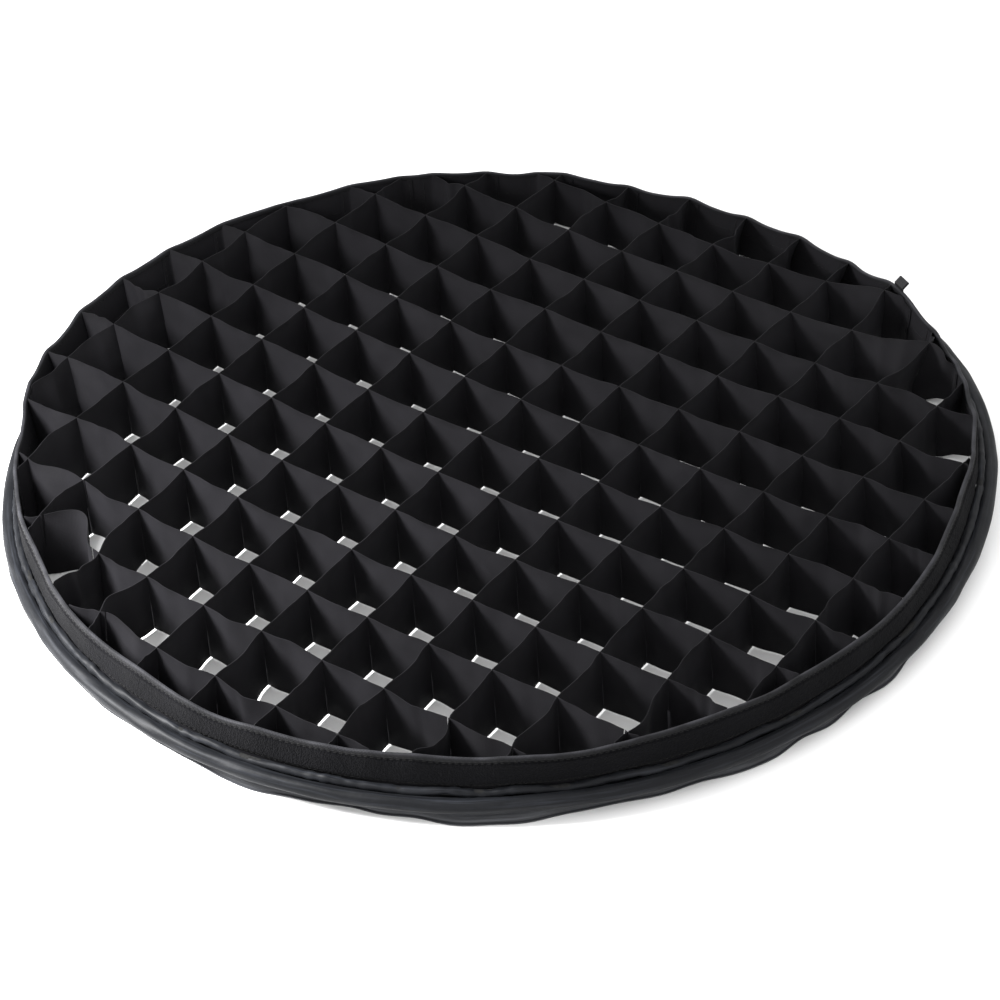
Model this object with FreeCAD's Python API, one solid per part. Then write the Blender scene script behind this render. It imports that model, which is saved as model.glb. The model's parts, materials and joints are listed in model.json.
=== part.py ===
"""Soft egg-crate grid for a round softbox: crossed fabric strips in a sprung round rim.

Millimetres. The origin is on the floor plane at the centre of the rim, +Z points along the
light axis towards the softbox, X and Y run along the two families of strips. The grid lies
face down, as it is put on a table: the hem is on the floor and the attachment collar is up.
"""
import math
import os

import FreeCAD
import Part

# ---- driving dimensions -------------------------------------------------------------------
PITCH = 50.0              # spacing of the strips, centre to centre
LINES = 13                # strips in each direction
GRID_SHIFT_Y = -10.0      # the sewn lattice sits a little off the rim's centre along Y
STRIP_THICK = 1.0         # doubled and stitched fabric
STRIP_LOW = 1.5           # lower edge of the strips above the floor
STRIP_TOP = 45.5          # upper edge of the strips
NOTCH_PLAY = 0.4          # room on each side of a strip in the notch it passes through
NOTCH_GAP = 0.2           # room between the ends of two crossing notches

COLLAR_R = 337.0          # outside of the fabric band that holds the strips
COLLAR_THICK = 1.2
COLLAR_LOW = 1.0
COLLAR_TOP = 45.2

BINDING_TOP = 46.0        # tape folded over the upper edge of the collar
BINDING_THICK = 0.8
BINDING_LEG = 3.0
LAYER_GAP = 0.1           # air between layers that are sewn on each other

HOOK_TAPE_WIDTH = 20.0    # hook tape that holds the grid in the softbox
HOOK_TAPE_THICK = 1.5

PIPING_R = 2.8            # gathered piping under the hook tape
PIPING_SKIN = 0.6
PIPING_CORD_R = 1.9

SLEEVE_RING_R = 346.0     # centre line of the sleeve that carries the hoop
SLEEVE_Z = 14.0
SLEEVE_R = 5.3
SLEEVE_SKIN = 0.8
SLEEVE_FLANGE_THICK = 1.0

HOOP_R = 347.5            # centre line of the spring steel hoop
HOOP_WIRE_R = 1.5
HOOP_JOINT_ANGLE = 242.0  # where the two wire ends meet, degrees round from +X
HOOP_END_GAP = 0.6
FERRULE_R = 2.4
FERRULE_LENGTH = 40.0
FERRULE_BORE_R = 1.55

HEM_THICK = 1.2           # lower skirt, which turns out into a foot on the floor
HEM_TOP = 12.6
HEM_TOP_R = 338.2
HEM_FOLD_R = 341.2
HEM_FOOT_R = 346.0

TAB_ANGLE = 62.0          # place of the pull tab on the rim, degrees round from +X
TAB_WIDTH = 12.0
TAB_LENGTH = 6.0
TAB_THICK = 1.8
TAB_LEAN = 45.0           # lean of the tab outwards from upright, degrees
TAB_HINGE_Z = 47.2
TAB_EYE_R = 1.1           # sewn root of the tab, on which it turns
TAB_WEB = 1.0             # length of the root web between the eye and the tab
ROOT_STITCH_R = 0.5       # thread bar through the root
ROOT_POST = 2.0           # width of the two thread lugs beside the root
ROOT_PLAY = 0.4
FULL_TURN = 360.0

UP = FreeCAD.Vector(0, 0, 1)
ORIGIN = FreeCAD.Vector(0, 0, 0)


def export(shape, node):
    """Write one sub-part as parts/NODE.step."""
    shape.exportStep(f"parts/{node}.step")


def box(low, high):
    """Box between two corners."""
    size = [b - a for a, b in zip(low, high)]
    return Part.makeBox(*size, FreeCAD.Vector(*low))


def turned_ring(profile):
    """Closed ring made by turning an (r, z) outline round the Z axis."""
    points = [FreeCAD.Vector(r, 0, z) for r, z in profile]
    face = Part.Face(Part.makePolygon(points + points[:1]))
    return face.revolve(ORIGIN, UP, FULL_TURN)


def torus(ring_r, z, tube_r):
    """Round cord or wire laid in a full circle."""
    return Part.makeTorus(ring_r, tube_r, FreeCAD.Vector(0, 0, z), UP)


def disc(ring_r, z, radius):
    """Round face standing across the rim at its +X point."""
    return Part.Face(Part.Wire(Part.makeCircle(
        radius, FreeCAD.Vector(ring_r, 0, z), FreeCAD.Vector(0, 1, 0))))


def wire_arc(ring_r, z, tube_r, start, end):
    """Round wire along an arc of the rim, between two angles in degrees."""
    arc = disc(ring_r, z, tube_r).revolve(ORIGIN, UP, end - start)
    arc.rotate(ORIGIN, UP, start)
    return arc


# ---- the lattice --------------------------------------------------------------------------
def line_positions(shift):
    """Places of one family of strips across the rim."""
    middle = (LINES - 1) / 2
    return [(index - middle) * PITCH + shift for index in range(LINES)]


def half_length(offset):
    """Half the length of a strip that lies off the rim's centre by offset."""
    inside = COLLAR_R - COLLAR_THICK - LAYER_GAP - BINDING_THICK - 3 * LAYER_GAP
    reach = abs(offset) + STRIP_THICK / 2
    return math.sqrt(inside ** 2 - reach ** 2)


def strip(along_x, place, crossings):
    """One fabric strip, notched over half its depth where the other family crosses."""
    half, side = half_length(place), STRIP_THICK / 2
    middle = (STRIP_LOW + STRIP_TOP) / 2
    slot = side + NOTCH_PLAY
    if along_x:
        body = box((-half, place - side, STRIP_LOW), (half, place + side, STRIP_TOP))
        low, high = middle - NOTCH_GAP / 2, STRIP_TOP + 1
    else:
        body = box((place - side, -half, STRIP_LOW), (place + side, half, STRIP_TOP))
        low, high = STRIP_LOW - 1, middle + NOTCH_GAP / 2
    notches = []
    for cross in crossings:
        if abs(cross) > half or abs(place) > half_length(cross):
            continue
        if along_x:
            notches.append(box((cross - slot, place - 2, low), (cross + slot, place + 2, high)))
        else:
            notches.append(box((place - 2, cross - slot, low), (place + 2, cross + slot, high)))
    return body.cut(Part.makeCompound(notches))


def lattice():
    """Both families of strips, by node name."""
    columns, rows = line_positions(0), line_positions(GRID_SHIFT_Y)
    pieces = {}
    for number, place in enumerate(rows, 1):
        pieces[f"strip_x_{number:02d}"] = strip(True, place, columns)
    for number, place in enumerate(columns, 1):
        pieces[f"strip_y_{number:02d}"] = strip(False, place, rows)
    return pieces


# ---- the collar and what is sewn on it ----------------------------------------------------
def collar():
    """Fabric band round the lattice."""
    inner = COLLAR_R - COLLAR_THICK
    return turned_ring([(inner, COLLAR_LOW), (COLLAR_R, COLLAR_LOW),
                        (COLLAR_R, COLLAR_TOP), (inner, COLLAR_TOP)])


def top_binding():
    """Narrow tape folded over the collar's upper edge."""
    leg_in = COLLAR_R - COLLAR_THICK - LAYER_GAP
    leg_out = COLLAR_R + LAYER_GAP
    low, fold = BINDING_TOP - BINDING_LEG, COLLAR_TOP + LAYER_GAP
    return turned_ring([
        (leg_in - BINDING_THICK, low), (leg_in, low), (leg_in, fold), (leg_out, fold),
        (leg_out, low), (leg_out + BINDING_THICK, low),
        (leg_out + BINDING_THICK, BINDING_TOP), (leg_in - BINDING_THICK, BINDING_TOP)])


def hook_tape():
    """Hook tape round the outside of the collar, which sticks to the softbox's loop tape."""
    inner = COLLAR_R + LAYER_GAP
    outer = inner + HOOK_TAPE_THICK
    high = BINDING_TOP - BINDING_LEG - 2 * LAYER_GAP
    low = high - HOOK_TAPE_WIDTH
    return turned_ring([(inner, low), (outer, low), (outer, high), (inner, high)])


def piping_centre():
    """Ring radius and height of the piping, tucked under the hook tape."""
    tape_low = BINDING_TOP - BINDING_LEG - 2 * LAYER_GAP - HOOK_TAPE_WIDTH
    return COLLAR_R + 2 * LAYER_GAP + PIPING_R, tape_low - 3 * LAYER_GAP - PIPING_R


def piping_cover():
    """Gathered satin tube of the piping."""
    ring_r, z = piping_centre()
    return torus(ring_r, z, PIPING_R).cut(torus(ring_r, z, PIPING_R - PIPING_SKIN))


def piping_cord():
    """Filler cord inside the piping."""
    ring_r, z = piping_centre()
    return torus(ring_r, z, PIPING_CORD_R)


# ---- the sprung rim -----------------------------------------------------------------------
def hoop_sleeve():
    """Satin sleeve round the hoop, with the flange that is sewn to the collar."""
    half = SLEEVE_FLANGE_THICK / 2
    inner = COLLAR_R + 2 * LAYER_GAP
    meet = SLEEVE_RING_R - math.sqrt(SLEEVE_R ** 2 - half ** 2)
    corners = [FreeCAD.Vector(r, 0, SLEEVE_Z + side * half)
               for r, side in ((meet, 1), (inner, 1), (inner, -1), (meet, -1))]
    far_side = FreeCAD.Vector(SLEEVE_RING_R + SLEEVE_R, 0, SLEEVE_Z)
    round_side = Part.Arc(corners[-1], far_side, corners[0]).toShape()
    outline = Part.Wire(Part.makePolygon(corners).Edges + [round_side])
    bore = disc(SLEEVE_RING_R, SLEEVE_Z, SLEEVE_R - SLEEVE_SKIN)
    section = Part.Face(outline).cut(bore)
    return section.Faces[0].revolve(ORIGIN, UP, FULL_TURN)


def spring_hoop():
    """Spring steel wire bent to a circle, with its ends butted inside the ferrule."""
    gap = math.degrees(HOOP_END_GAP / HOOP_R)
    start = HOOP_JOINT_ANGLE + gap / 2
    return wire_arc(HOOP_R, SLEEVE_Z, HOOP_WIRE_R, start, start + 360 - gap)


def hoop_ferrule():
    """Crimped tube that joins the two wire ends."""
    half = math.degrees(FERRULE_LENGTH / 2 / HOOP_R)
    start, end = HOOP_JOINT_ANGLE - half, HOOP_JOINT_ANGLE + half
    outside = wire_arc(HOOP_R, SLEEVE_Z, FERRULE_R, start, end)
    return outside.cut(wire_arc(HOOP_R, SLEEVE_Z, FERRULE_BORE_R, start - 1, end + 1))


def hem_skirt():
    """Lower hem: a short skirt under the sleeve, turned out into a foot on the floor."""
    slope = (HEM_FOLD_R - HEM_TOP_R) / (HEM_TOP - HEM_THICK)
    return turned_ring([
        (HEM_FOLD_R, 0), (HEM_FOOT_R, 0), (HEM_FOOT_R, HEM_THICK),
        (HEM_FOLD_R + HEM_THICK, HEM_THICK),
        (HEM_TOP_R + HEM_THICK + slope * HEM_THICK, HEM_TOP), (HEM_TOP_R, HEM_TOP),
        (HEM_FOLD_R, HEM_THICK)])


# ---- the pull tab -------------------------------------------------------------------------
def on_rim(shape):
    """Move a shape drawn at the +X point of the rim to the pull tab's place."""
    shape.rotate(ORIGIN, UP, TAB_ANGLE)
    return shape


def pull_tab():
    """Folded webbing tab with its sewn eye, leaning out over the collar's edge."""
    half = TAB_WIDTH / 2
    pivot = FreeCAD.Vector(COLLAR_R, 0, TAB_HINGE_Z + TAB_EYE_R)
    eye_half = half - ROOT_POST - ROOT_PLAY
    eye = Part.makeCylinder(TAB_EYE_R, 2 * eye_half,
                            pivot - FreeCAD.Vector(0, eye_half, 0), FreeCAD.Vector(0, 1, 0))
    web_top = pivot.z + TAB_EYE_R + TAB_WEB
    web = box((pivot.x - TAB_THICK / 2, -eye_half, pivot.z),
              (pivot.x + TAB_THICK / 2, eye_half, web_top))
    leaf = box((pivot.x - TAB_THICK / 2, -half, web_top),
               (pivot.x + TAB_THICK / 2, half, web_top + TAB_LENGTH))
    tab = eye.fuse([web, leaf])
    bore = Part.makeCylinder(ROOT_STITCH_R + 0.1, TAB_WIDTH,
                             pivot - FreeCAD.Vector(0, half, 0), FreeCAD.Vector(0, 1, 0))
    tab = tab.cut(bore)
    tab.rotate(pivot, FreeCAD.Vector(0, 1, 0), TAB_LEAN)
    return on_rim(tab)


def tab_root():
    """Thread bar on the collar's edge that the pull tab swings on."""
    half = TAB_WIDTH / 2
    pivot = FreeCAD.Vector(COLLAR_R, 0, TAB_HINGE_Z + TAB_EYE_R)
    bar = Part.makeCylinder(ROOT_STITCH_R, TAB_WIDTH,
                            pivot - FreeCAD.Vector(0, half, 0), FreeCAD.Vector(0, 1, 0))
    root = bar
    for side in (-1, 1):
        inner, outer = sorted((side * half, side * (half - ROOT_POST)))
        root = root.fuse(box((pivot.x - TAB_EYE_R, inner, BINDING_TOP),
                             (pivot.x + TAB_EYE_R, outer, pivot.z + ROOT_STITCH_R)))
    return on_rim(root)


def main():
    """Build every sub-part and write it."""
    os.makedirs("parts", exist_ok=True)
    pieces = lattice()
    pieces.update({
        "collar": collar(), "top_binding": top_binding(), "hook_tape": hook_tape(),
        "piping_cover": piping_cover(), "piping_cord": piping_cord(),
        "hoop_sleeve": hoop_sleeve(), "spring_hoop": spring_hoop(),
        "hoop_ferrule": hoop_ferrule(), "hem_skirt": hem_skirt(),
        "tab_root": tab_root(), "pull_tab": pull_tab()})
    for node, shape in pieces.items():
        export(shape, node)


main()
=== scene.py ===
import json
import math
from collections import Counter

import bpy
import numpy as np
from mathutils import Matrix, Vector


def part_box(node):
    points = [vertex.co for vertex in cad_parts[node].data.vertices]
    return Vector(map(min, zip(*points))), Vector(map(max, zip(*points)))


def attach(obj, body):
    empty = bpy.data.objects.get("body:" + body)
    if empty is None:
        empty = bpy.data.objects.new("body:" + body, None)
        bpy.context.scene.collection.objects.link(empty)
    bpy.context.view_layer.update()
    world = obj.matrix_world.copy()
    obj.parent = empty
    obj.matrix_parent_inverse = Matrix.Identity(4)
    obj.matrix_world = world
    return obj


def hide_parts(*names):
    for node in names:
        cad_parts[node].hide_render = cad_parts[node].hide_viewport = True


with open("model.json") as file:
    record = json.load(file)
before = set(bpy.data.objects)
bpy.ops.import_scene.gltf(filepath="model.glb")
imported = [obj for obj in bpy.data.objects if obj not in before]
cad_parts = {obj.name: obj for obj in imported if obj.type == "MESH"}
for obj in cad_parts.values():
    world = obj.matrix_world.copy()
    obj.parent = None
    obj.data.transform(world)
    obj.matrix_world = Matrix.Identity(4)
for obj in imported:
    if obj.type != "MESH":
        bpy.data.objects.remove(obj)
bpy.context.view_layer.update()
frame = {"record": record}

# Soft egg-crate grid for a round softbox, lying face down. Metres, in the CAD frame.

MM = 0.001

# ---- the camera and the light ---------------------------------------------------------
VIEW_HEADING = 127.95     # direction of the line of sight, degrees round from +X
VIEW_DOWN = 39.1          # degrees below the horizon
VIEW_ROLL = 3.5           # the camera leans to its right
VIEW_AT = (0.0524, -0.0634)  # where the line of sight meets the top of the lattice
VIEW_DISTANCE = 2.086
LENS_MM = 109.3
SENSOR_MM = 36.0
KEY_PLACE = (-0.46, -0.62, 0.51)
KEY_AIM = (-0.12, -0.3, 0.0)
KEY_SIZE = 0.26
KEY_POWER = 8
KEY_SPREAD = 80          # degrees
WORLD_STRENGTH = 1.75

# ---- sizes read from the frame --------------------------------------------------------
ROWS = [f"strip_x_{n:02d}" for n in range(1, 14)]
COLUMNS = [f"strip_y_{n:02d}" for n in range(1, 14)]


def middle_of(node, axis):
    """Centre of a node's box along one axis."""
    low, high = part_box(node)
    return (low[axis] + high[axis]) / 2


ROW_Y = [middle_of(node, 1) for node in ROWS]
COLUMN_X = [middle_of(node, 0) for node in COLUMNS]
HALF_ROW = [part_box(node)[1].x for node in ROWS]
HALF_COLUMN = [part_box(node)[1].y for node in COLUMNS]
STRIP_LOW, STRIP_TOP = (corner.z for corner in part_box(ROWS[6]))
COLLAR_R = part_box("collar")[1].x
COLLAR_LOW, COLLAR_TOP = (corner.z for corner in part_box("collar"))
RIM_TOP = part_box("top_binding")[1].z
TAPE_LOW, TAPE_TOP = (corner.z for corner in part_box("hook_tape"))
TAPE_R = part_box("hook_tape")[1].x
PIPING_LOW, PIPING_TOP = (corner.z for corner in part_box("piping_cover"))
PIPING_R = (PIPING_TOP - PIPING_LOW) / 2
PIPING_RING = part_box("piping_cover")[1].x - PIPING_R
SLEEVE_LOW, SLEEVE_TOP = (corner.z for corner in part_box("hoop_sleeve"))
SLEEVE_R = (SLEEVE_TOP - SLEEVE_LOW) / 2
SLEEVE_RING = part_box("hoop_sleeve")[1].x - SLEEVE_R
SLEEVE_Z = (SLEEVE_TOP + SLEEVE_LOW) / 2
HEM_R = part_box("hem_skirt")[1].x
HEM_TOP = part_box("hem_skirt")[1].z

# ---- cloth ----------------------------------------------------------------------------
CLOTH_THICK = 0.4 * MM
NOTCH_HALF = 0.5 * MM     # half the width of the notch where two strips cross
DEPTH_STEPS = 8           # faces over a strip's depth, an even number
SPAN_STEPS = 20           # faces between two crossings
FLAP = 9 * MM             # end of a strip folded over and sewn to the collar
FLAP_R = COLLAR_R - 1.8 * MM
FLAP_TOP = RIM_TOP - 4.2 * MM
FLAP_STEPS = 5
RING_STEPS = 720

BEND_LOW, BEND_HIGH = 16 * MM, 46 * MM   # heights between which the collar leans
CELL = 50 * MM            # between two crossings
SHORT_SPAN = 30 * MM      # a span shorter than this has only SHORT_STEPS faces
SHORT_STEPS = 6
CRINKLE = 0.3 * MM        # fine crinkles: their height, their length, and how near to a
CRINKLE_LENGTH = 0.028    # crossing they die out
CRINKLE_STOP = 5 * MM
DRAG = 1.8 * MM           # how far the strips' lower edges trail behind, along +X and -Y
DRIFT_SPAN = 0.3          # the lattice's drift is given for a point this far from the middle
LEFT_DRIFT = (-3.5 * MM, 4.5 * MM)       # further drift of the lattice's side towards -X
RIM_ZONE = (0.27, 0.333)  # radii between which the rim takes over from the lattice
FOOT_ZONE = (0.31, 0.334)                # the same, for the strips' lower edges
EDGE_ZONE = (0.318, 0.334)               # the same, for the collar's upper edge
HOOP_ZONE = (0.31, 0.345)                # the same, for the sprung hoop
TAB_ZONE = (0.25, 0.33)                  # the same, for the stretch that the tab holds true
LEFT_ZONE = (0.06, 0.24)  # distances towards -X over which the further drift sets in
RELIEF, RELIEF_LENGTH = 0.6, 0.11        # slow ups and downs of the lattice: mm, and metres
END_SPREAD = 0.035        # a strip's end lifts the collar's edge over this angle, in radians
END_OUT, END_UP = 1.2, 2.2               # how far a strip's end moves that edge, mm
EDGE_OUT, EDGE_UP = 1.2, 1.0             # how far the edge wanders out and up, mm
EDGE_SAG = 2.0            # how far it sags between the strips' ends, mm


class Patch:
    """A soft-edged oval patch of the lattice that leans: how far the strips' upper edges are
    moved along X, along Y and up, and their lower edges along X and Y, in millimetres. It
    fades out between the two radii of its zone."""

    def __init__(self, centre, spread, zone, top=(0, 0, 0), foot=(0, 0)):
        self.centre, self.spread, self.zone = centre, spread, zone
        self.top = [distance * MM for distance in top]
        self.foot = [distance * MM for distance in foot]

    def share(self, x, y):
        """1 at the middle of the patch, fading out with distance."""
        away_x = (x - self.centre[0]) / self.spread[0]
        away_y = (y - self.centre[1]) / self.spread[1]
        return np.exp(-away_x ** 2 - away_y ** 2)


LEANING_PATCHES = [
    Patch((0.25, -0.14), (0.13, 0.13), RIM_ZONE, top=(-2, 3, 1.5)),
    Patch((0.235, -0.085), (0.065, 0.065), EDGE_ZONE, foot=(0, 5)),
    Patch((0.205, 0.245), (0.035, 0.035), EDGE_ZONE, top=(9, 11, 5)),
    Patch((0.17, 0.24), (0.12, 0.09), FOOT_ZONE, foot=(3.24, -3.24)),
    Patch((0.02, 0.26), (0.15, 0.07), FOOT_ZONE, foot=(3.24, -3.24)),
    Patch((0.155, -0.25), (0.1, 0.08), FOOT_ZONE, foot=(2.16, -2.16)),
]


class RimBend:
    """A stretch of the rim that lies off true: how far out and up it is moved, in millimetres,
    at the level of the sprung hoop and at the collar's upper edge, and the radius inside which
    the lattice keeps still. Angles are degrees round from +X."""

    def __init__(self, centre, spread, hoop=(0.0, 0.0), edge=(0.0, 0.0), still=0.29):
        self.centre, self.spread = math.radians(centre), math.radians(spread)
        self.hoop = [distance * MM for distance in hoop]
        self.edge = [distance * MM for distance in edge]
        self.still = still

    def share(self, angle):
        """1 at the centre of the stretch, easing to 0 at its ends."""
        away = np.clip(turned(angle, self.centre) / self.spread, -1, 1)
        return np.cos(away * np.pi / 2) ** 2


RIM_BENDS = [
    RimBend(84, 55, hoop=(-10, 0), edge=(-5.5, -4.5), still=0.16),
    RimBend(42, 52, hoop=(4.5, 9)),
    RimBend(18, 38, edge=(-6, 0), still=0.22),
    RimBend(196, 44, hoop=(0, 1), edge=(6, 3), still=0.25),
]
HEM_BULGES = [RimBend(255, 10, hoop=(2, 0)), RimBend(279, 9, hoop=(3.5, 0)),
              RimBend(306, 13, hoop=(6, 0)), RimBend(335, 7, hoop=(5, 0)),
              RimBend(345, 5, hoop=(3, 0)), RimBend(354, 5, hoop=(3, 0))]
TAB_ANGLE = math.atan2(middle_of("tab_root", 1), middle_of("tab_root", 0))
TAB_HOLD = 0.1            # the collar's edge stays true this near to the tab, in radians
CALM_AT, CALM_SPREAD = math.radians(155), 0.5    # the stretch where that edge is nearly even
CALM_SHARE = 0.75         # how much of its unevenness is gone there


def smooth(value, low, high):
    """0 below low, 1 above high, and a smooth step between."""
    t = np.clip((value - low) / (high - low), 0, 1)
    return t * t * (3 - 2 * t)


def waves(x, y, length, seed, count=7):
    """Smooth random relief from about -1 to 1 with the given wavelength."""
    rng = np.random.default_rng(seed)
    total = 0
    for turn, phase, stretch in zip(rng.uniform(0, 2 * np.pi, count),
                                    rng.uniform(0, 2 * np.pi, count),
                                    rng.uniform(0.7, 1.5, count)):
        along = x * np.cos(turn) + y * np.sin(turn)
        total = total + np.sin(2 * np.pi * along * stretch / length + phase)
    return total / math.sqrt(count)


def round_waves(angle, count, seed, terms=5):
    """Smooth random relief round the rim, with about count waves in the circle."""
    rng = np.random.default_rng(seed)
    total = 0
    for _ in range(terms):
        number = max(1, round(count * rng.uniform(0.6, 1.5)))
        total = total + np.sin(number * angle + rng.uniform(0, 2 * np.pi))
    return total / math.sqrt(terms)


def end_angles():
    """Angles round the rim where the strips' ends are sewn to the collar."""
    angles = []
    for place, half in zip(ROW_Y, HALF_ROW):
        angles += [math.atan2(place, half), math.atan2(place, -half)]
    for place, half in zip(COLUMN_X, HALF_COLUMN):
        angles += [math.atan2(half, place), math.atan2(-half, place)]
    return angles


END_ANGLES = end_angles()


def turned(angle, centre):
    """Angle from centre, between -pi and pi."""
    return (angle - centre + np.pi) % (2 * np.pi) - np.pi


def settle(points):
    """Where a point of the sewn grid comes to lie: the lattice drifts off true and leans in
    patches, the collar's upper edge sags between the strips' ends, and stretches of the rim
    bend in, out or up."""
    x, y, z = points[..., 0], points[..., 1], points[..., 2]
    radius, angle = np.hypot(x, y), np.arctan2(y, x)
    u, v = x / DRIFT_SPAN, y / DRIFT_SPAN
    rim = smooth(radius, *RIM_ZONE)
    rise = np.clip((z - BEND_LOW) / (BEND_HIGH - BEND_LOW), 0, 1)
    at_tab = np.exp(-(turned(angle, TAB_ANGLE) / TAB_HOLD) ** 2)
    hold = 1 - at_tab * smooth(radius, *TAB_ZONE) * rise
    free = (1 - rim * (1 - rise)) * hold
    drift_x = (2.4 * u + 2.6 * v + 5.8 * v * v - 2.0) * MM * free
    drift_y = (-4.0 * v + 6.5 * u * u + 1.5 * u * v - 2.2) * MM * free
    left = smooth(-x, *LEFT_ZONE) * free * (1 - smooth(radius, *HOOP_ZONE))
    dragged = (1 - smooth(radius, *FOOT_ZONE)) * (1 - rise) * DRAG
    drift_x = drift_x + LEFT_DRIFT[0] * left + dragged
    drift_y = drift_y + LEFT_DRIFT[1] * left - dragged
    lift = RELIEF * waves(x, y, RELIEF_LENGTH, 5) * MM * rise
    for patch in LEANING_PATCHES:
        share = patch.share(x, y) * (1 - smooth(radius, *patch.zone))
        top, foot = share * rise, share * (1 - rise)
        drift_x = drift_x + patch.top[0] * top + patch.foot[0] * foot
        drift_y = drift_y + patch.top[1] * top + patch.foot[1] * foot
        lift = lift + patch.top[2] * top * rise
    ends = np.clip(sum(np.exp(-(turned(angle, end) / END_SPREAD) ** 2) for end in END_ANGLES), 0, 1)
    uneven = 1 - CALM_SHARE * np.exp(-(turned(angle, CALM_AT) / CALM_SPREAD) ** 2)
    at_edge = smooth(radius, *EDGE_ZONE) * uneven * rise * hold * MM
    out = (EDGE_OUT * round_waves(angle, 13, 3) + END_OUT * ends) * at_edge
    lift = lift + (EDGE_UP * round_waves(angle, 17, 4) + END_UP * ends - EDGE_SAG) * at_edge
    for bend in RIM_BENDS:
        share = bend.share(angle) * smooth(radius, bend.still, RIM_ZONE[1]) * hold
        low = share * smooth(radius, *HOOP_ZONE)
        out = out + bend.edge[0] * share * rise + bend.hoop[0] * low * (1 - rise)
        lift = lift + bend.edge[1] * share * rise + bend.hoop[1] * low * (1 - rise)
    moved = points.copy()
    moved[..., 0] = x + drift_x + out * np.cos(angle)
    moved[..., 1] = y + drift_y + out * np.sin(angle)
    moved[..., 2] = z + lift
    return moved


def mesh_object(name, points, faces, uvs=None, edge_wear_and_painted_light=None, body="grid"):
    """Object from points and faces; uvs and the edge mask, which the materials tint as painted shade,
    painted highlight and paler rubbing, are one value per point.
    """
    mesh = bpy.data.meshes.new(name)
    mesh.from_pydata([tuple(p) for p in points], [], faces)
    mesh.update()
    if uvs is not None:
        layer = mesh.uv_layers.new(name="cloth")
        corner_points = np.zeros(len(mesh.loops), np.int32)
        mesh.loops.foreach_get("vertex_index", corner_points)
        layer.data.foreach_set("uv", np.asarray(uvs, np.float32)[corner_points].ravel())
    if edge_wear_and_painted_light is not None:
        # The edge mask for painted shade, painted highlight and paler rubbing, kept as a point
        # attribute.
        attribute = mesh.attributes.new("edge_wear_and_painted_light", "FLOAT", "POINT")
        attribute.data.foreach_set("value", np.asarray(edge_wear_and_painted_light, np.float32))
    uses = Counter(key for face in mesh.polygons for key in face.edge_keys)
    for edge in mesh.edges:
        edge.use_edge_sharp = uses[edge.key] == 1
    for face in mesh.polygons:
        face.use_smooth = True
    piece = bpy.data.objects.new(name, mesh)
    bpy.context.collection.objects.link(piece)
    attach(piece, body)
    return piece


def sheet_faces(across, along, close_across=False, close_along=False, leave_out=()):
    """Quads of a grid of across by along points, numbered along first."""
    faces = []
    for i in range(across if close_across else across - 1):
        for j in range(along if close_along else along - 1):
            if (i, j) in leave_out:
                continue
            k, m = (i + 1) % across, (j + 1) % along
            faces.append((i * along + j, k * along + j, k * along + m, i * along + m))
    return faces


def drop_loose(points, faces, *fields):
    """Points that faces use, with the faces renumbered and the fields cut to match."""
    used = sorted({index for face in faces for index in face})
    place = {old: new for new, old in enumerate(used)}
    kept = [np.asarray(field)[used] for field in (points, *fields)]
    return kept[0], [tuple(place[i] for i in face) for face in faces], *kept[1:]


def thicken(piece, thickness):
    """Give a single layer of cloth its thickness, half to each side."""
    shell = piece.modifiers.new("thickness", "SOLIDIFY")
    shell.thickness = thickness
    shell.offset = 0
    return piece


# ---- the strips -----------------------------------------------------------------------
# Strips with a slack end: how far the cloth bulges, and over what length from that end, in
# millimetres. The end is the one towards -X or -Y, or towards +X or +Y.
SLACK_ENDS = {
    ("strip_x_01", -1): (7, 60),
    ("strip_x_02", -1): (24, 60),
    ("strip_x_03", -1): (-5, 45),
    ("strip_x_04", 1): (5, 50),
    ("strip_y_03", -1): (-6, 70),
    ("strip_y_04", -1): (8, 60),
    ("strip_y_05", -1): (-6, 50),
    ("strip_y_10", -1): (7, 45),
    ("strip_y_11", -1): (-5, 50),
    ("strip_y_12", -1): (6, 50),
}


def crossings_of(place, half, others, other_halves):
    """Places of the strips of the other family that this strip crosses."""
    return [other for other, reach in zip(others, other_halves)
            if abs(other) < half and abs(place) < reach]


def stations(half, crossings):
    """Distances along a strip: the ends, both sides of each notch, and even steps between."""
    edges = [-half]
    for cross in crossings:
        edges += [cross - NOTCH_HALF, cross + NOTCH_HALF]
    edges.append(half)
    along = []
    for low, high in zip(edges[::2], edges[1::2]):
        steps = SPAN_STEPS if high - low > SHORT_SPAN else SHORT_STEPS
        along += list(np.linspace(low, high, steps + 1))
    return np.array(along)


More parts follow.
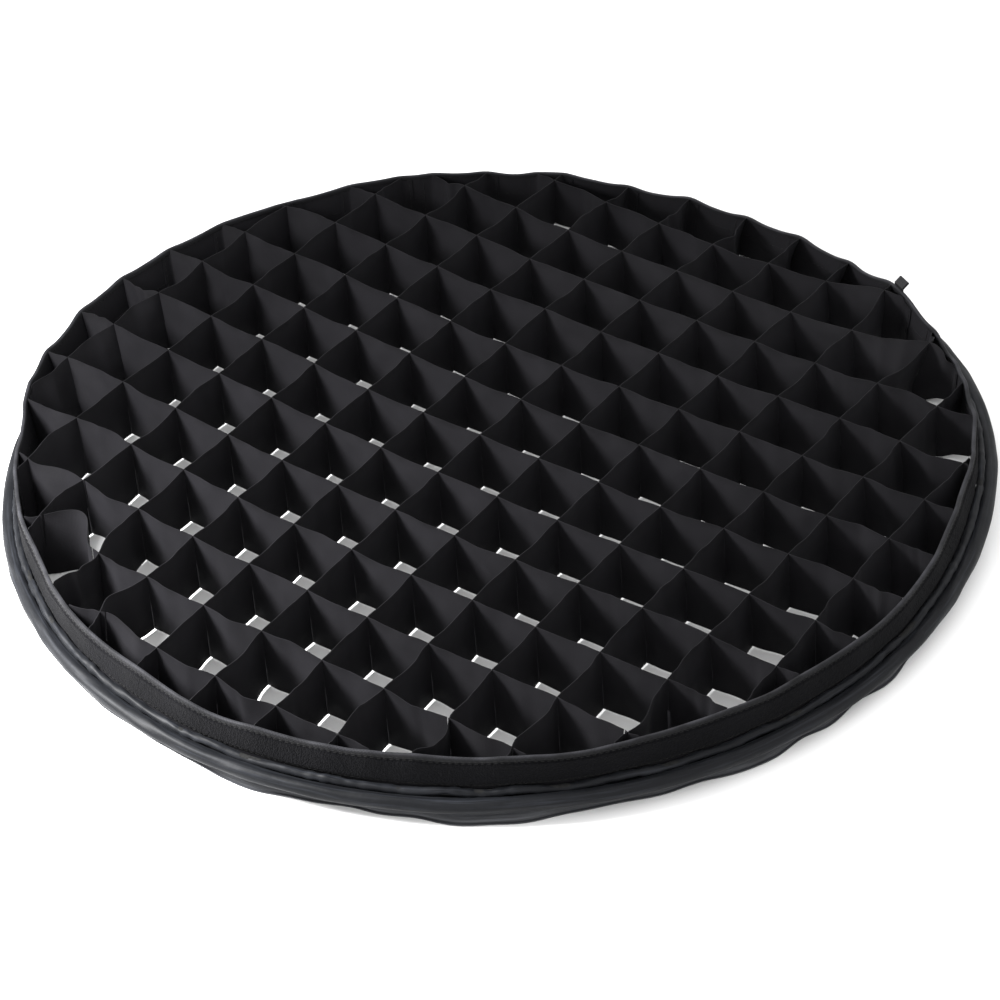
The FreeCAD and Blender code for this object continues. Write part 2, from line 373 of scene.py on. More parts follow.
def bow(along, place, half, crossings, node, rng):
    """Sideways bulge of the cloth between its crossings, at its lower and its upper edge."""
    knots = [-half, *crossings, half]
    low, top = np.zeros_like(along), np.zeros_like(along)
    sag = np.zeros_like(along)
    for index, (start, end) in enumerate(zip(knots, knots[1:])):
        inside = (along >= start) & (along <= end)
        share = (along[inside] - start) / (end - start)
        hump = (1 - np.cos(2 * np.pi * share)) / 2
        at_end = index in (0, len(knots) - 2)
        reach = min(1.0, (end - start) / CELL)
        near_rim = math.hypot((start + end) / 2, place) / COLLAR_R
        size = (1.2 + 3.2 * float(smooth(near_rim, 0.62, 0.95))) * reach * MM
        low[inside] += rng.uniform(-size, size) * hump
        top[inside] += rng.uniform(-size, size) * hump
        sag[inside] -= rng.uniform(0.2, 1.8 if at_end else 0.9) * hump * MM * reach
        if at_end and reach > 0.5 and rng.random() < 0.7:
            fold_at, fold = rng.uniform(0.3, 0.7), rng.uniform(-1, 1) * 3.5 * MM
            crease = np.exp(-((share - fold_at) / 0.09) ** 2) * fold
            low[inside] += crease * rng.uniform(0.2, 1)
            top[inside] += crease
        for _ in range(2):
            fold = rng.uniform(-1, 1) * (0.25 + 0.9 * float(smooth(near_rim, 0.5, 1.0))) * MM
            crease = np.exp(-((share - rng.uniform(0.2, 0.8)) / rng.uniform(0.06, 0.12)) ** 2) * fold
            low[inside] += crease
            top[inside] += crease * rng.uniform(0.1, 1)
    for side in (-1, 1):
        bulge, reach = SLACK_ENDS.get((node, side), (0, 1))
        share = np.clip((half - side * along) / (reach * MM), 0, 1)
        slack = bulge * MM * (1 - np.cos(2 * np.pi * share)) / 2
        low, top = low + 0.75 * slack, top + slack
    return low, top, sag


def flap_path(end, travel):
    """Plan of a strip's end folded against the collar, from the strip's end onwards."""
    angle = math.atan2(end[1], end[0])
    forward = -math.sin(angle) * travel[0] + math.cos(angle) * travel[1]
    way = 1 if forward >= 0 else -1
    turns = angle + way * np.linspace(0.9 * MM, FLAP, FLAP_STEPS) / FLAP_R
    return np.stack([np.cos(turns), np.sin(turns)], axis=1) * FLAP_R


def strip_cloth(node, along_x, place, half, crossings, seed):
    """One cloth strip with its notches and its two sewn-down ends."""
    rng = np.random.default_rng(seed)
    along = stations(half, crossings)
    low, top, sag = bow(along, place, half, crossings, node, rng)
    depth = np.linspace(0, 1, DEPTH_STEPS + 1)
    side = low[:, None] * (1 - depth) + top[:, None] * depth
    crinkle = waves(along[:, None] + 7 * place, depth * 0.044, CRINKLE_LENGTH, seed + 50)
    quiet = np.ones_like(along)
    for cross in crossings:
        quiet = quiet * (1 - np.exp(-((along - cross) / CRINKLE_STOP) ** 2))
    side = side + CRINKLE * crinkle * quiet[:, None]
    foot = STRIP_LOW - 0.2 * MM
    height = foot + depth * (STRIP_TOP - foot) + sag[:, None] * depth ** 3
    plan_along = np.repeat(along[:, None], DEPTH_STEPS + 1, axis=1)
    plan_side = place + side
    if along_x:
        body = np.stack([plan_along, plan_side, height], axis=-1)
    else:
        body = np.stack([plan_side, plan_along, height], axis=-1)
    parts = [body]
    for sign in (-1, 1):
        end = (sign * half, place) if along_x else (place, sign * half)
        travel = (sign, 0) if along_x else (0, sign)
        plan = flap_path(end, travel)
        flap_height = STRIP_LOW + 1 * MM + depth * (FLAP_TOP - STRIP_LOW - 1 * MM)
        flap = np.zeros((FLAP_STEPS, DEPTH_STEPS + 1, 3))
        flap[..., 0], flap[..., 1] = plan[:, None, 0], plan[:, None, 1]
        flap[..., 2] = flap_height
        parts = [flap[::-1], *parts] if sign < 0 else [*parts, flap]
    points = np.concatenate(parts)
    run = np.concatenate([[0], np.cumsum(np.linalg.norm(np.diff(points[:, 4, :2], axis=0), axis=1))])
    uvs = np.stack(np.broadcast_arrays(run[:, None], points[..., 2]), axis=-1)
    # Mask of the strip's top and lower edges, which the grid material darkens as painted shade.
    edge_wear_and_painted_light = np.repeat((np.abs(depth - 0.5) * 2)[None] ** 8, len(points), axis=0)
    points = settle(points)
    columns = len(points)
    cut = set()
    half_depth = DEPTH_STEPS // 2
    for cross in crossings:
        column = FLAP_STEPS + int(np.argmin(np.abs(along - (cross - NOTCH_HALF))))
        gone = range(half_depth, DEPTH_STEPS) if along_x else range(half_depth)
        cut |= {(column, j) for j in gone}
    faces = sheet_faces(columns, DEPTH_STEPS + 1, leave_out=cut)
    flat_points, faces, uvs, edge_wear_and_painted_light = drop_loose(
        points.reshape(-1, 3), faces, uvs.reshape(-1, 2), edge_wear_and_painted_light.reshape(-1))
    piece = mesh_object(f"cloth_{node}", flat_points, faces, uvs, edge_wear_and_painted_light)
    thicken(piece, CLOTH_THICK)
    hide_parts(node)
    return piece


def lattice():
    """All strips of both families."""
    pieces = []
    for index, node in enumerate(ROWS):
        place, half = ROW_Y[index], HALF_ROW[index]
        crossings = crossings_of(place, half, COLUMN_X, HALF_COLUMN)
        pieces.append(strip_cloth(node, True, place, half, crossings, 100 + index))
    for index, node in enumerate(COLUMNS):
        place, half = COLUMN_X[index], HALF_COLUMN[index]
        crossings = crossings_of(place, half, ROW_Y, HALF_ROW)
        pieces.append(strip_cloth(node, False, place, half, crossings, 200 + index))
    return pieces


# ---- the rim --------------------------------------------------------------------------
def ring(name, profile, node, shape=None, closed=False, steps=RING_STEPS, painted_highlight_crown=0.0, arc=None):
    """Band, tube or wire round the rim: profile is its cross-section as (r, z) points, and shape
    moves the points, given the angle, the place along the profile, r and z. An edge mask marks
    both edges of the cloth, or a stripe in the middle whose width is the given share, which the
    binding uses for a painted highlight along its crown. An arc, as its first and last angle,
    leaves the ring open between them."""
    profile = np.array(profile)
    angle = np.linspace(0, 2 * np.pi, steps, endpoint=False)[:, None]
    if arc:
        angle = np.linspace(*arc, steps)[:, None]
    r = np.repeat(profile[None, :, 0], steps, axis=0)
    z = np.repeat(profile[None, :, 1], steps, axis=0)
    run = np.concatenate([[0], np.cumsum(np.linalg.norm(np.diff(profile, axis=0), axis=1))])
    share = np.repeat((run / run[-1])[None], steps, axis=0)
    if shape:
        r, z = shape(angle, share, r, z)
    points = np.stack([r * np.cos(angle), r * np.sin(angle), z], axis=-1)
    uvs = np.stack(np.broadcast_arrays(angle * profile[:, 0].mean(), run[None]), axis=-1)
    faces = sheet_faces(steps, len(profile), close_across=not arc, close_along=closed)
    # Edge mask: a middle stripe when a share is given, the binding's painted highlight along its
    # crown, and both edges otherwise.
    edge_wear_and_painted_light = np.exp(-((share - 0.5) / painted_highlight_crown) ** 2) if painted_highlight_crown else (np.abs(share - 0.5) * 2) ** 10
    points = settle(points)
    piece = mesh_object(name, points.reshape(-1, 3), faces, uvs.reshape(-1, 2), edge_wear_and_painted_light.reshape(-1))
    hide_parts(node)
    return piece


def line(*corners, step=1.2 * MM):
    """Profile through the corners, with points about a step apart."""
    profile = [corners[0]]
    for (r0, z0), (r1, z1) in zip(corners, corners[1:]):
        steps = max(1, round(math.hypot(r1 - r0, z1 - z0) / step))
        profile += [(r0 + (r1 - r0) * k / steps, z0 + (z1 - z0) * k / steps)
                    for k in range(1, steps + 1)]
    return profile


def collar_cloth():
    """The band that the strips' ends are sewn to."""
    middle = COLLAR_R - 0.6 * MM
    piece = ring("cloth_collar", line((middle, COLLAR_LOW), (middle, COLLAR_TOP), step=4 * MM),
                 "collar")
    thicken(piece, 0.9 * MM)
    return piece


def binding_cloth():
    """Narrow tape folded over the collar's upper edge."""
    inner, outer = COLLAR_R - 1.7 * MM, COLLAR_R + 0.5 * MM
    top, leg = RIM_TOP - 0.3 * MM, 3.4 * MM
    profile = line((inner, RIM_TOP - leg), (inner, top - 0.5 * MM), (inner + 0.5 * MM, top),
                   (outer - 0.5 * MM, top), (outer, top - 0.5 * MM), (outer, RIM_TOP - leg),
                   step=0.8 * MM)
    # The middle of the profile is the binding's crown, where a painted highlight goes.
    piece = ring("cloth_top_binding", profile, "top_binding", painted_highlight_crown=0.16)
    thicken(piece, 0.5 * MM)
    return piece


def hook_tape_cloth():
    """Hook tape: a flat woven ground with the raised, fuzzy field of hooks between its edges."""
    inner, ground, field = COLLAR_R + 0.15 * MM, COLLAR_R + 0.7 * MM, TAPE_R - 0.1 * MM
    edge = 1.6 * MM
    outside = line((ground, TAPE_TOP), (ground, TAPE_TOP - edge), (field, TAPE_TOP - edge - 0.5 * MM),
                   (field, TAPE_LOW + edge + 0.5 * MM), (ground, TAPE_LOW + edge),
                   (ground, TAPE_LOW), step=1.1 * MM)
    profile = [(inner, TAPE_LOW), (inner, TAPE_TOP), *outside]

    def fuzz(angle, share, r, z):
        raised = smooth(r, ground, field)
        rough = waves(angle * COLLAR_R + 0 * z, z + 0 * angle, 0.006, 21)
        return r + 0.16 * MM * rough * raised, z
    piece = ring("cloth_hook_tape", profile, "hook_tape", fuzz, closed=True, steps=900)
    return piece


def circle(ring_r, z, radius, count, start=0.0, sweep=360.0):
    """Round profile, or an arc of it, from start degrees."""
    turns = np.radians(start + np.linspace(0, sweep, count, endpoint=sweep < 360))
    return [(ring_r + radius * math.cos(t), z + radius * math.sin(t)) for t in turns]


def hoop_pieces():
    """Sprung hoop, with the crimped tube that joins its ends, and the piping's filler cord.
    They follow the rim inside their covers."""
    wire_low, wire_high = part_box("spring_hoop")
    wire_r = (wire_high.z - wire_low.z) / 2
    hoop_r = wire_high.x - wire_r
    wire = ring("hoop_wire", circle(hoop_r, SLEEVE_Z, wire_r, 12), "spring_hoop", closed=True)
    low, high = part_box("hoop_ferrule")
    tube_r = (high.z - low.z) / 2
    bore_r = wire_r * 1.02
    at = math.atan2(middle_of("hoop_ferrule", 1), middle_of("hoop_ferrule", 0))
    turn = math.hypot(high.x - low.x, high.y - low.y) / 2 / hoop_r
    tube = ring("ferrule_tube", circle(hoop_r, SLEEVE_Z, (tube_r + bore_r) / 2, 20), "hoop_ferrule",
                closed=True, steps=24, arc=(at - turn, at + turn))
    thicken(tube, tube_r - bore_r)
    cord_low, cord_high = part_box("piping_cord")
    cord_r = (cord_high.z - cord_low.z) / 2
    cord = ring("piping_filler", circle(PIPING_RING, (cord_high.z + cord_low.z) / 2, cord_r, 12),
                "piping_cord", closed=True)
    return wire, tube, cord


def piping_cloth():
    """Gathered satin piping: it swells, pinches and wanders along the rim."""
    def gather(angle, share, r, z):
        turn = share * 2 * np.pi
        middle_z = (PIPING_TOP + PIPING_LOW) / 2
        swell = 1 + 0.09 * round_waves(angle, 60, 31) + 0.07 * round_waves(angle, 170, 32)
        twist = np.sin(3 * turn + 90 * angle + 2 * round_waves(angle, 23, 33))
        swell = swell + 0.07 * twist
        wander = 0.9 * MM * round_waves(angle, 38, 34)
        return PIPING_RING + (r - PIPING_RING) * swell, middle_z + (z - middle_z) * swell + wander
    profile = circle(PIPING_RING, (PIPING_TOP + PIPING_LOW) / 2, PIPING_R - 0.3 * MM, 16)
    piece = ring("cloth_piping", profile, "piping_cover", gather, closed=True, steps=1400)
    thicken(piece, 0.4 * MM)
    return piece


def sleeve_cloth():
    """Satin sleeve round the sprung hoop, with its flange sewn to the collar."""
    flange = 0.55 * MM
    tube = circle(SLEEVE_RING, SLEEVE_Z, SLEEVE_R - 0.3 * MM, 26, 174, -348)
    profile = [(COLLAR_R + 0.6 * MM, SLEEVE_Z + flange), (COLLAR_R + 2.2 * MM, SLEEVE_Z + flange),
               *tube, (COLLAR_R + 2.2 * MM, SLEEVE_Z - flange),
               (COLLAR_R + 0.6 * MM, SLEEVE_Z - flange)]

    def pucker(angle, share, r, z):
        across, up = r - SLEEVE_RING, z - SLEEVE_Z
        far = smooth(r, COLLAR_R + 2 * MM, SLEEVE_RING)
        streak = np.sin(5 * 2 * np.pi * share + 3.5 * round_waves(angle, 11, 41))
        streak = streak * (0.6 + 0.4 * round_waves(angle, 31, 45))
        gather = round_waves(angle, 120, 42) * np.exp(-((share - 0.12) / 0.12) ** 2)
        swell = 1 + 0.06 * streak + 0.03 * round_waves(angle, 47, 43) + 0.04 * gather
        swell = 1 + (swell - 1) * far
        shift = 0.5 * MM * round_waves(angle, 21, 44) * far
        return SLEEVE_RING + across * swell, SLEEVE_Z + up * swell + shift
    piece = ring("cloth_hoop_sleeve", profile, "hoop_sleeve", pucker, steps=1200)
    thicken(piece, 0.45 * MM)
    return piece


def hem_cloth():
    """Wavy lower hem that turns out on the floor under the sleeve."""
    profile = line((COLLAR_R + 1.6 * MM, HEM_TOP), (COLLAR_R + 3.4 * MM, 5 * MM),
                   (COLLAR_R + 5 * MM, 1.6 * MM), (HEM_R - 4 * MM, 0.8 * MM),
                   (HEM_R - 2 * MM, 0.7 * MM), step=1.0 * MM)

    def wavy(angle, share, r, z):
        loose = smooth(share, 0.1, 1.0)
        out = (0.9 * round_waves(angle, 14, 51) + 0.5 * round_waves(angle, 44, 52)) * MM
        for bulge in HEM_BULGES:
            out = out + bulge.hoop[0] * bulge.share(angle)
        lift = np.maximum(0, round_waves(angle, 26, 53)) * 0.9 * MM * smooth(share, 0.55, 1)
        return r + out * loose, z + lift
    piece = ring("cloth_hem", profile, "hem_skirt", wavy, steps=900)
    thicken(piece, 0.9 * MM)
    return piece


# ---- thread ---------------------------------------------------------------------------
def stitches(name, centres, ways, outs, length, radius=0.22 * MM):
    """Small arched threads: each lies at a centre along its way and stands out a little."""
    points, faces = [], []
    sides = 6
    for centre, way, out in zip(centres, ways, outs):
        across = np.cross(way, out)
        base = len(points)
        for share, size, rise in ((-0.5, 0.45, -0.25), (-0.25, 1, 0.25), (0.25, 1, 0.25),
                                  (0.5, 0.45, -0.25)):
            for k in range(sides):
                turn = 2 * math.pi * k / sides
                points.append(centre + way * (share * length)
                              + out * (radius * (rise + size * math.sin(turn)))
                              + across * (radius * size * math.cos(turn)))
        for row in range(3):
            for k in range(sides):
                m = (k + 1) % sides
                a, b = base + row * sides, base + (row + 1) * sides
                faces.append((a + k, b + k, b + m, a + m))
        faces.append(tuple(base + k for k in range(sides)))
        faces.append(tuple(base + 3 * sides + k for k in reversed(range(sides))))
    piece = mesh_object(name, np.array(points), faces)
    return piece


def seam_round(name, radius, height, inwards=False, length=2.9 * MM, pitch=4.1 * MM):
    """Row of stitches round the collar, on its outside or its inside."""
    count = int(2 * math.pi * radius / pitch)
    angle = np.linspace(0, 2 * np.pi, count, endpoint=False)
    points = np.stack([radius * np.cos(angle), radius * np.sin(angle),
                       np.full(count, height)], axis=-1)
    ahead = angle + 0.004
    further = np.stack([radius * np.cos(ahead), radius * np.sin(ahead),
                        np.full(count, height)], axis=-1)
    here, there = settle(points), settle(further)
    ways = (there - here) / np.linalg.norm(there - here, axis=1)[:, None]
    sign = -1 if inwards else 1
    outs = sign * np.stack([np.cos(angle), np.sin(angle), 0 * angle], axis=-1)
    return stitches(name, here, ways, outs, length)


def flap_seams():
    """Upright rows of stitches through the strips' folded ends."""
    centres, ways, outs = [], [], []
    ends = [((s * h, p), (s, 0)) for p, h in zip(ROW_Y, HALF_ROW) for s in (-1, 1)]
    ends += [((p, s * h), (0, s)) for p, h in zip(COLUMN_X, HALF_COLUMN) for s in (-1, 1)]
    for end, travel in ends:
        plan = flap_path(end, travel)[3]
        spot = plan * (FLAP_R - 0.45 * MM) / FLAP_R
        for height in np.arange(STRIP_LOW + 4 * MM, FLAP_TOP - 2 * MM, 4.0 * MM):
            centres.append((spot[0], spot[1], height))
            ways.append((0, 0, 1))
            outs.append((-plan[0] / FLAP_R, -plan[1] / FLAP_R, 0))
    return stitches("thread_strip_ends", settle(np.array(centres)), np.array(ways, float),
                    np.array(outs), 2.8 * MM)


# ---- materials ------------------------------------------------------------------------
WAVE_RATE = 6.2832        # makes one wave of a wave texture span two threads


class Nodes:
    """Short way to build a node material."""

    def __init__(self, name):
        self.material = bpy.data.materials.new(name)
        self.material.use_nodes = True
        self.tree = self.material.node_tree
        self.tree.nodes.clear()
        self.shader = self.add("ShaderNodeBsdfPrincipled")
        output = self.add("ShaderNodeOutputMaterial")
        self.link(self.shader.outputs[0], output.inputs[0])

    def add(self, kind, **settings):
        node = self.tree.nodes.new(kind)
        for key, value in settings.items():
            setattr(node, key, value)
        return node

    def link(self, source, target):
        self.tree.links.new(source, target)

    def put(self, node, **values):
        for key, value in values.items():
            node.inputs[key.replace("_", " ")].default_value = value
        return node

    def maths(self, operation, a, b):
        node = self.add("ShaderNodeMath", operation=operation)
        for socket, value in zip(node.inputs, (a, b)):
            if isinstance(value, (int, float)):
                socket.default_value = value
            else:
                self.link(value, socket)
        return node.outputs[0]

    def noise(self, place, scale, detail=3.0, rough=0.55):
        node = self.put(self.add("ShaderNodeTexNoise"), Scale=scale, Detail=detail, Roughness=rough)
        self.link(place, node.inputs["Vector"])
        return node.outputs["Fac"]

    def ramp(self, fac, stops):
        node = self.add("ShaderNodeValToRGB")
        elements = node.color_ramp.elements
        while len(elements) < len(stops):
            elements.new(0.5)
        for element, (place, colour) in zip(elements, stops):
            element.position = place
            element.color = (*colour, 1)
        self.link(fac, node.inputs[0])
        return node.outputs[0]

    def weave(self, place, thread, tilt=0.0):
        """Relief of a plain weave with threads of the given width, in metres."""
        turn = self.add("ShaderNodeMapping")
        turn.inputs["Rotation"].default_value[2] = tilt
        self.link(place, turn.inputs["Vector"])
        heights = []
        for axis in ("X", "Y"):
            wave = self.add("ShaderNodeTexWave", wave_type="BANDS", bands_direction=axis)
            self.put(wave, Scale=1 / thread / WAVE_RATE, Distortion=0.3, Detail=1.0)
            self.link(turn.outputs[0], wave.inputs["Vector"])
            heights.append(wave.outputs["Fac"])
        return self.maths("MULTIPLY", heights[0], heights[1])

    def bump(self, height, distance, strength=1.0, below=None):
        node = self.put(self.add("ShaderNodeBump"), Strength=strength, Distance=distance)
        self.link(height, node.inputs["Height"])
        if below is not None:
            self.link(below, node.inputs["Normal"])
        return node.outputs[0]


def shade(colour, factor):
    """Colour made lighter or darker."""
    return tuple(min(1.0, channel * factor) for channel in colour)


def woven(name, colour, roughness, sheen, thread=0.5 * MM, weave_depth=0.06 * MM, tilt=0.0,
          gloss=0.35, edge_wear_and_painted_light_factor=1.6, crumple=0.25 * MM, sheen_tint=(0.75, 0.78, 0.85),
          painted_sheen_streaks=0.0):
    """Woven cloth: weave relief, fine crumple, cloudy colour, and a tint on the edges that the mesh's
    edge mask picks out, scaled by the edge factor: below 1 it is painted shade, above 1 paler rubbed
    edges, and on the binding a painted highlight.
    Satin also has painted sheen: lighter bands painted into its colour that run along it."""
    n = Nodes(name)
    uv = n.add("ShaderNodeUVMap", uv_map="cloth").outputs[0]
    place = n.add("ShaderNodeTexCoord").outputs["Object"]
    cloud = n.noise(place, 22.0, 4.0)
    speck = n.noise(place, 900.0, 2.0)
    mixed = n.maths("ADD", n.maths("MULTIPLY", cloud, 0.7), n.maths("MULTIPLY", speck, 0.3))
    base = n.ramp(mixed, [(0.25, shade(colour, 0.72)), (0.75, shade(colour, 1.3))])
    stretch = n.add("ShaderNodeMapping")
    stretch.inputs["Scale"].default_value = (14.0, 420.0, 1.0)
    n.link(uv, stretch.inputs["Vector"])
    streak = n.noise(stretch.outputs[0], 1.0, 4.0, 0.7)
    # Painted sheen: lighter bands along the cloth, painted into its colour.
    if painted_sheen_streaks:
        pale = n.add("ShaderNodeMix", data_type="RGBA")
        n.link(n.ramp(streak, [(0.5, (0, 0, 0)), (0.72, (painted_sheen_streaks,) * 3)]), pale.inputs["Factor"])
        n.link(base, pale.inputs["A"])
        pale.inputs["B"].default_value = (*shade(colour, 4.0), 1)
        base = pale.outputs["Result"]
    # Edge tint: the edge mask, broken up by noise, mixes in the colour times the edge factor: painted
    # shade on the grid and collar, a painted highlight on the binding, paler rubbing on satin and
    # webbing.
    edge_wear_and_painted_light = n.add("ShaderNodeAttribute", attribute_name="edge_wear_and_painted_light").outputs["Fac"]
    patches = n.ramp(n.noise(place, 60.0), [(0.3, (0, 0, 0)), (0.7, (1, 1, 1))])
    patchy = n.maths("MULTIPLY", edge_wear_and_painted_light, patches)
    mix = n.add("ShaderNodeMix", data_type="RGBA")
    n.link(patchy, mix.inputs["Factor"])
    n.link(base, mix.inputs["A"])
    mix.inputs["B"].default_value = (*shade(colour, edge_wear_and_painted_light_factor), 1)
    n.link(mix.outputs["Result"], n.shader.inputs["Base Color"])
    rough = n.ramp(n.noise(place, 35.0),
                   [(0.2, (roughness - 0.07,) * 3), (0.8, (roughness + 0.07,) * 3)])
    n.link(rough, n.shader.inputs["Roughness"])
    n.put(n.shader, Specular_IOR_Level=gloss, Sheen_Weight=sheen, Sheen_Roughness=0.45)
    n.shader.inputs["Sheen Tint"].default_value = (*sheen_tint, 1)
    soft = n.bump(n.noise(place, 75.0, 3.0), crumple, 0.8)
    threads = n.bump(n.weave(uv, thread, tilt), weave_depth, 0.8, soft)
    n.link(threads, n.shader.inputs["Normal"])
    return n.material


def hooks_material():
    """Matt hook tape: stippled, dusty and without a clear weave."""
    n = Nodes("hook_tape_fuzz")
    place = n.add("ShaderNodeTexCoord").outputs["Object"]
    cells = n.put(n.add("ShaderNodeTexVoronoi"), Scale=750.0, Randomness=0.8)
    n.link(place, cells.inputs["Vector"])
    dust = n.noise(place, 30.0, 5.0)
    holes = n.maths("MULTIPLY", cells.outputs["Distance"], 0.5)
    tint = n.maths("ADD", n.maths("MULTIPLY", dust, 0.6), holes)
    n.link(n.ramp(tint, [(0.25, (0.0007, 0.0007, 0.0010)), (0.8, (0.0020, 0.0020, 0.0028))]),
           n.shader.inputs["Base Color"])
    n.put(n.shader, Roughness=0.92, Specular_IOR_Level=0.05, Sheen_Weight=0.01, Sheen_Roughness=0.7)
    stipple = n.bump(cells.outputs["Distance"], 0.5 * MM, 1.0)
    n.link(n.bump(n.noise(place, 160.0), 0.5 * MM, 0.8, stipple), n.shader.inputs["Normal"])
    return n.material


def metal_material(name, colour, roughness):
    """Drawn wire or tube with fine scratches and an oily film."""
    n = Nodes(name)
    place = n.add("ShaderNodeTexCoord").outputs["Object"]
    film = n.noise(place, 45.0, 4.0)
    n.link(n.ramp(film, [(0.3, shade(colour, 0.7)), (0.7, colour)]), n.shader.inputs["Base Color"])
    n.link(n.ramp(film, [(0.3, (roughness,) * 3), (0.7, (roughness + 0.15,) * 3)]),
           n.shader.inputs["Roughness"])
    n.put(n.shader, Metallic=1.0)
    n.link(n.bump(n.noise(place, 900.0), 0.05 * MM), n.shader.inputs["Normal"])
    return n.material


def cord_material():
    """Twisted cotton filler cord."""
    n = Nodes("filler_cord")
    place = n.add("ShaderNodeTexCoord").outputs["Object"]
    fibre = n.noise(place, 500.0, 4.0)
    n.link(n.ramp(fibre, [(0.3, (0.006, 0.006, 0.006)), (0.7, (0.014, 0.014, 0.014))]),
           n.shader.inputs["Base Color"])
    n.put(n.shader, Roughness=0.9, Specular_IOR_Level=0.1, Sheen_Weight=0.02)
    n.link(n.bump(fibre, 0.3 * MM), n.shader.inputs["Normal"])
    return n.material


def paint(piece, material):
    """Give a piece one material."""
    piece.data.materials.clear()
    piece.data.materials.append(material)


# ---- the pull tab ---------------------------------------------------------------------
def tab_cloth():
    """Webbing tab, folded double, that turns about its root on the collar's edge."""
    low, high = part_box("pull_tab")
    joint = frame["record"]["behaviour"]["joints"][0]
    pivot, axis = Vector(joint["pos_m"]), Vector(joint["axis"])
    centre = (Vector(low) + Vector(high)) / 2
    lean = centre - pivot
    lean = (lean - axis * lean.dot(axis)).normalized()
    reach = 5.6 * MM
    width = 10.4 * MM
    half_fold = 0.75     # half the distance between its two layers, mm
    side = axis.cross(lean).normalized()
    path = []
    for share in np.linspace(0, 1, 12):
        path.append(lean * (reach * share) + side * half_fold * MM)
    for turn in np.linspace(0, math.pi, 7)[1:-1]:
        path.append(lean * (reach + half_fold * MM * math.sin(turn))
                    + side * (half_fold * MM * math.cos(turn)))
    for share in np.linspace(1, 0, 12):
        path.append(lean * (reach * share) - side * half_fold * MM)
    across = np.linspace(-0.5, 0.5, 9)
    points, uvs, run = [], [], 0.0
    for index, spot in enumerate(path):
        if index:
            run += (spot - path[index - 1]).length
        for share in across:
            points.append(tuple(pivot + spot + axis * (share * width)))
            uvs.append((run, share * width))
    faces = sheet_faces(len(path), len(across))
    edge_wear_and_painted_light = [(abs(share) * 2) ** 6 for _ in path for share in across]
    piece = mesh_object("cloth_pull_tab", points, faces, uvs, edge_wear_and_painted_light, body="tab")
    thicken(piece, 0.6 * MM)
    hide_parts("pull_tab")
    return piece


def tab_thread():
    """Close bar of thread that holds the tab's root to the collar's edge."""
    joint = frame["record"]["behaviour"]["joints"][0]
    pivot, axis = Vector(joint["pos_m"]), Vector(joint["axis"])
    low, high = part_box("tab_root")
    count = 9
    centres, ways, outs = [], [], []
    drop = (pivot.z + 0.3 * MM + low.z) / 2
    for share in np.linspace(-0.48, 0.48, count):
        spot = pivot + axis * (share * 11 * MM)
        centres.append((spot.x, spot.y, drop))
        ways.append((0, 0, 1))
        outs.append((pivot.x / COLLAR_R, pivot.y / COLLAR_R, 0))
    piece = stitches("thread_tab_root", np.array(centres), np.array(ways, float), np.array(outs),
                     pivot.z - low.z + 1.6 * MM, 0.5 * MM)
    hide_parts("tab_root")
    return piece


# ---- put it together ------------------------------------------------------------------
CLOTH_BLACK = (0.0064, 0.0061, 0.0073)


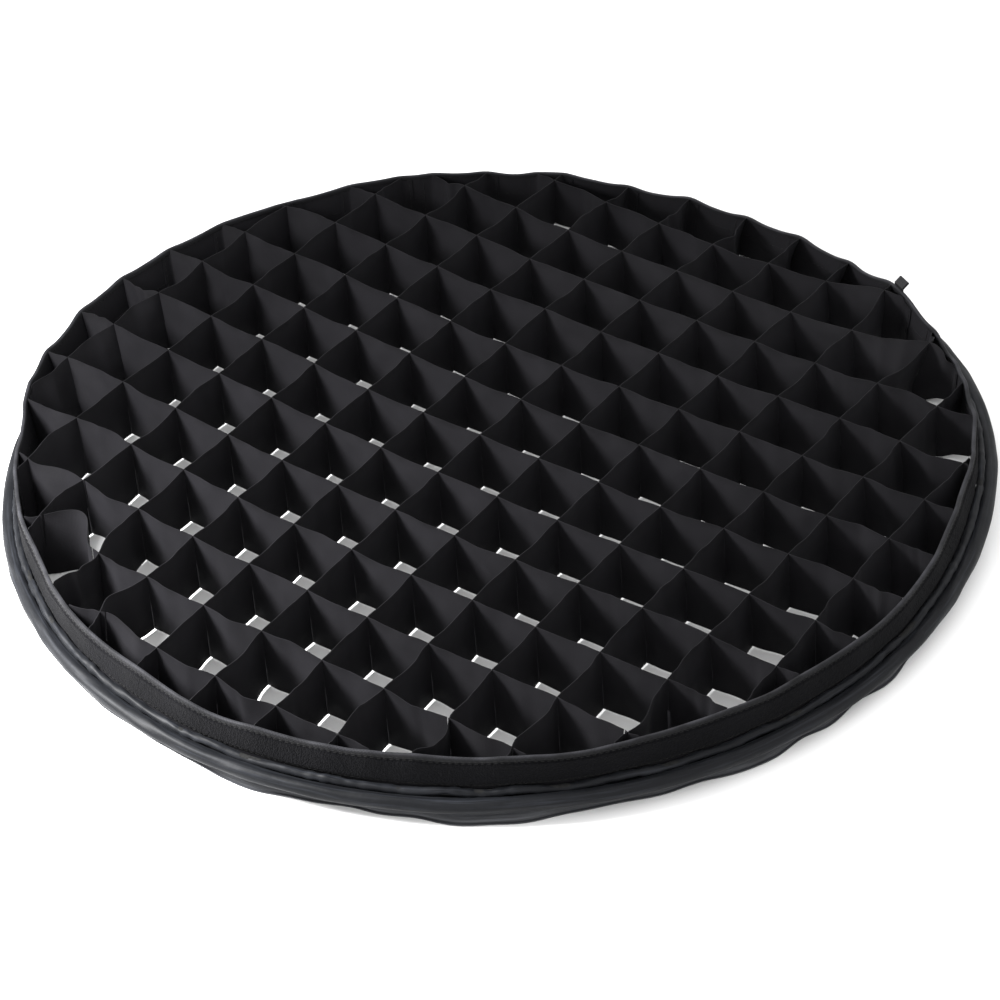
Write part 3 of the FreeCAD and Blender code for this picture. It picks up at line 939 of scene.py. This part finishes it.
def dress():
    """Every cloth piece with its finish."""
    # Grid and collar cloth: their edges are painted darker, painted shade.
    grid_black = woven("grid_cloth", CLOTH_BLACK, 0.7, 0.01, gloss=0.1, edge_wear_and_painted_light_factor=0.5)
    collar_black = woven("collar_cloth", CLOTH_BLACK, 0.7, 0.01, gloss=0.1, edge_wear_and_painted_light_factor=0.6)
    # Binding: its crown is painted six times lighter, a painted highlight along its top edge.
    binding_black = woven("binding_tape", (0.0045, 0.0045, 0.0052), 0.65, 0.02, thread=0.8 * MM,
                          weave_depth=0.15 * MM, tilt=0.785, gloss=0.1, edge_wear_and_painted_light_factor=6.0)
    # Satin: painted sheen bands along it, and paler rubbed edges.
    satin_black = woven("satin", (0.0043, 0.0047, 0.0058), 0.52, 0.015, thread=0.3 * MM,
                        weave_depth=0.02 * MM, gloss=0.1, edge_wear_and_painted_light_factor=1.3, crumple=0.5 * MM,
                        painted_sheen_streaks=0.9)
    # Hem: the same satin painted several times lighter, a lit copy that stands in for the light it
    # lacks under the sleeve; it also has painted sheen bands.
    hem_satin_painted_lighter = woven("hem_satin_painted_lighter", (0.026, 0.027, 0.030), 0.5, 0.03, thread=0.3 * MM,
                      weave_depth=0.02 * MM, gloss=0.2, edge_wear_and_painted_light_factor=1.5, crumple=0.5 * MM,
                      painted_sheen_streaks=0.5)
    web_black = woven("webbing", (0.010, 0.010, 0.011), 0.65, 0.03, thread=1.1 * MM,
                      weave_depth=0.3 * MM, gloss=0.15, edge_wear_and_painted_light_factor=1.4)
    thread_black = cord_material()
    for piece in lattice():
        paint(piece, grid_black)
    paint(collar_cloth(), collar_black)
    paint(binding_cloth(), binding_black)
    paint(hook_tape_cloth(), hooks_material())
    wire, tube, cord = hoop_pieces()
    paint(wire, metal_material("spring_steel", (0.42, 0.42, 0.44), 0.3))
    paint(tube, metal_material("ferrule_brass", (0.62, 0.48, 0.22), 0.35))
    paint(cord, thread_black)
    paint(piping_cloth(), satin_black)
    paint(sleeve_cloth(), satin_black)
    paint(hem_cloth(), hem_satin_painted_lighter)
    paint(tab_cloth(), web_black)
    paint(tab_thread(), thread_black)
    for name, radius, height, inwards in (
            ("thread_tape_upper", COLLAR_R + 0.75 * MM, TAPE_TOP - 0.9 * MM, False),
            ("thread_tape_lower", COLLAR_R + 0.75 * MM, TAPE_LOW + 0.9 * MM, False),
            ("thread_binding", COLLAR_R + 0.8 * MM, RIM_TOP - 2.5 * MM, False),
            ("thread_inside_upper", COLLAR_R - 1.15 * MM, TAPE_TOP - 0.9 * MM, True),
            ("thread_inside_lower", COLLAR_R - 1.15 * MM, TAPE_LOW + 0.9 * MM, True)):
        paint(seam_round(name, radius, height, inwards), thread_black)
    paint(flap_seams(), thread_black)


def floor():
    """Plain pale floor."""
    size = 6.0
    mesh = bpy.data.meshes.new("floor")
    mesh.from_pydata([(-size, -size, 0), (size, -size, 0), (size, size, 0), (-size, size, 0)],
                     [], [(0, 1, 2, 3)])
    ground = bpy.data.objects.new("floor", mesh)
    bpy.context.collection.objects.link(ground)
    n = Nodes("floor_white")
    place = n.add("ShaderNodeTexCoord").outputs["Object"]
    n.link(n.ramp(n.noise(place, 3.0), [(0.3, (0.79, 0.79, 0.79)), (0.7, (0.83, 0.83, 0.83))]),
           n.shader.inputs["Base Color"])
    n.put(n.shader, Roughness=0.8, Specular_IOR_Level=0.1)
    mesh.materials.append(n.material)


def area_light(name, place, aim, size, power, spread):
    """Soft square light at a place, turned towards its aim, with a fabric grid of its own."""
    data = bpy.data.lights.new(name, "AREA")
    data.shape, data.size, data.energy = "SQUARE", size, power
    lamp = bpy.data.objects.new(name, data)
    lamp.location = place
    lamp.rotation_mode = "QUATERNION"
    lamp.rotation_quaternion = (Vector(place) - Vector(aim)).to_track_quat("Z", "Y")
    data.spread = math.radians(spread)
    bpy.context.collection.objects.link(lamp)
    return lamp


def light():
    """Key close by on the left, and white surroundings."""
    area_light("key", KEY_PLACE, KEY_AIM, KEY_SIZE, KEY_POWER, KEY_SPREAD)
    world = bpy.data.worlds.new("studio")
    world.use_nodes = True
    background = world.node_tree.nodes["Background"]
    background.inputs[0].default_value = (1, 1, 1, 1)
    background.inputs[1].default_value = WORLD_STRENGTH
    bpy.context.scene.world = world
    bpy.context.scene.view_settings.view_transform = "Standard"


def camera():
    """Camera at the photograph's angle."""
    heading, down = math.radians(VIEW_HEADING), math.radians(VIEW_DOWN)
    forward = Vector((math.cos(heading) * math.cos(down), math.sin(heading) * math.cos(down),
                      -math.sin(down)))
    level = forward.cross(Vector((0, 0, 1))).normalized()
    below = forward.cross(level)
    roll = math.radians(VIEW_ROLL)
    right = level * math.cos(roll) + below * math.sin(roll)
    up = right.cross(forward)
    data = bpy.data.cameras.new("camera")
    data.lens, data.sensor_width = LENS_MM, SENSOR_MM
    eye = bpy.data.objects.new("camera", data)
    axes = Matrix((right, up, -forward)).transposed()
    target = Vector((*VIEW_AT, STRIP_TOP))
    eye.matrix_world = Matrix.Translation(target - forward * VIEW_DISTANCE) @ axes.to_4x4()
    bpy.context.collection.objects.link(eye)
    bpy.context.scene.camera = eye


dress()
floor()
light()
camera()
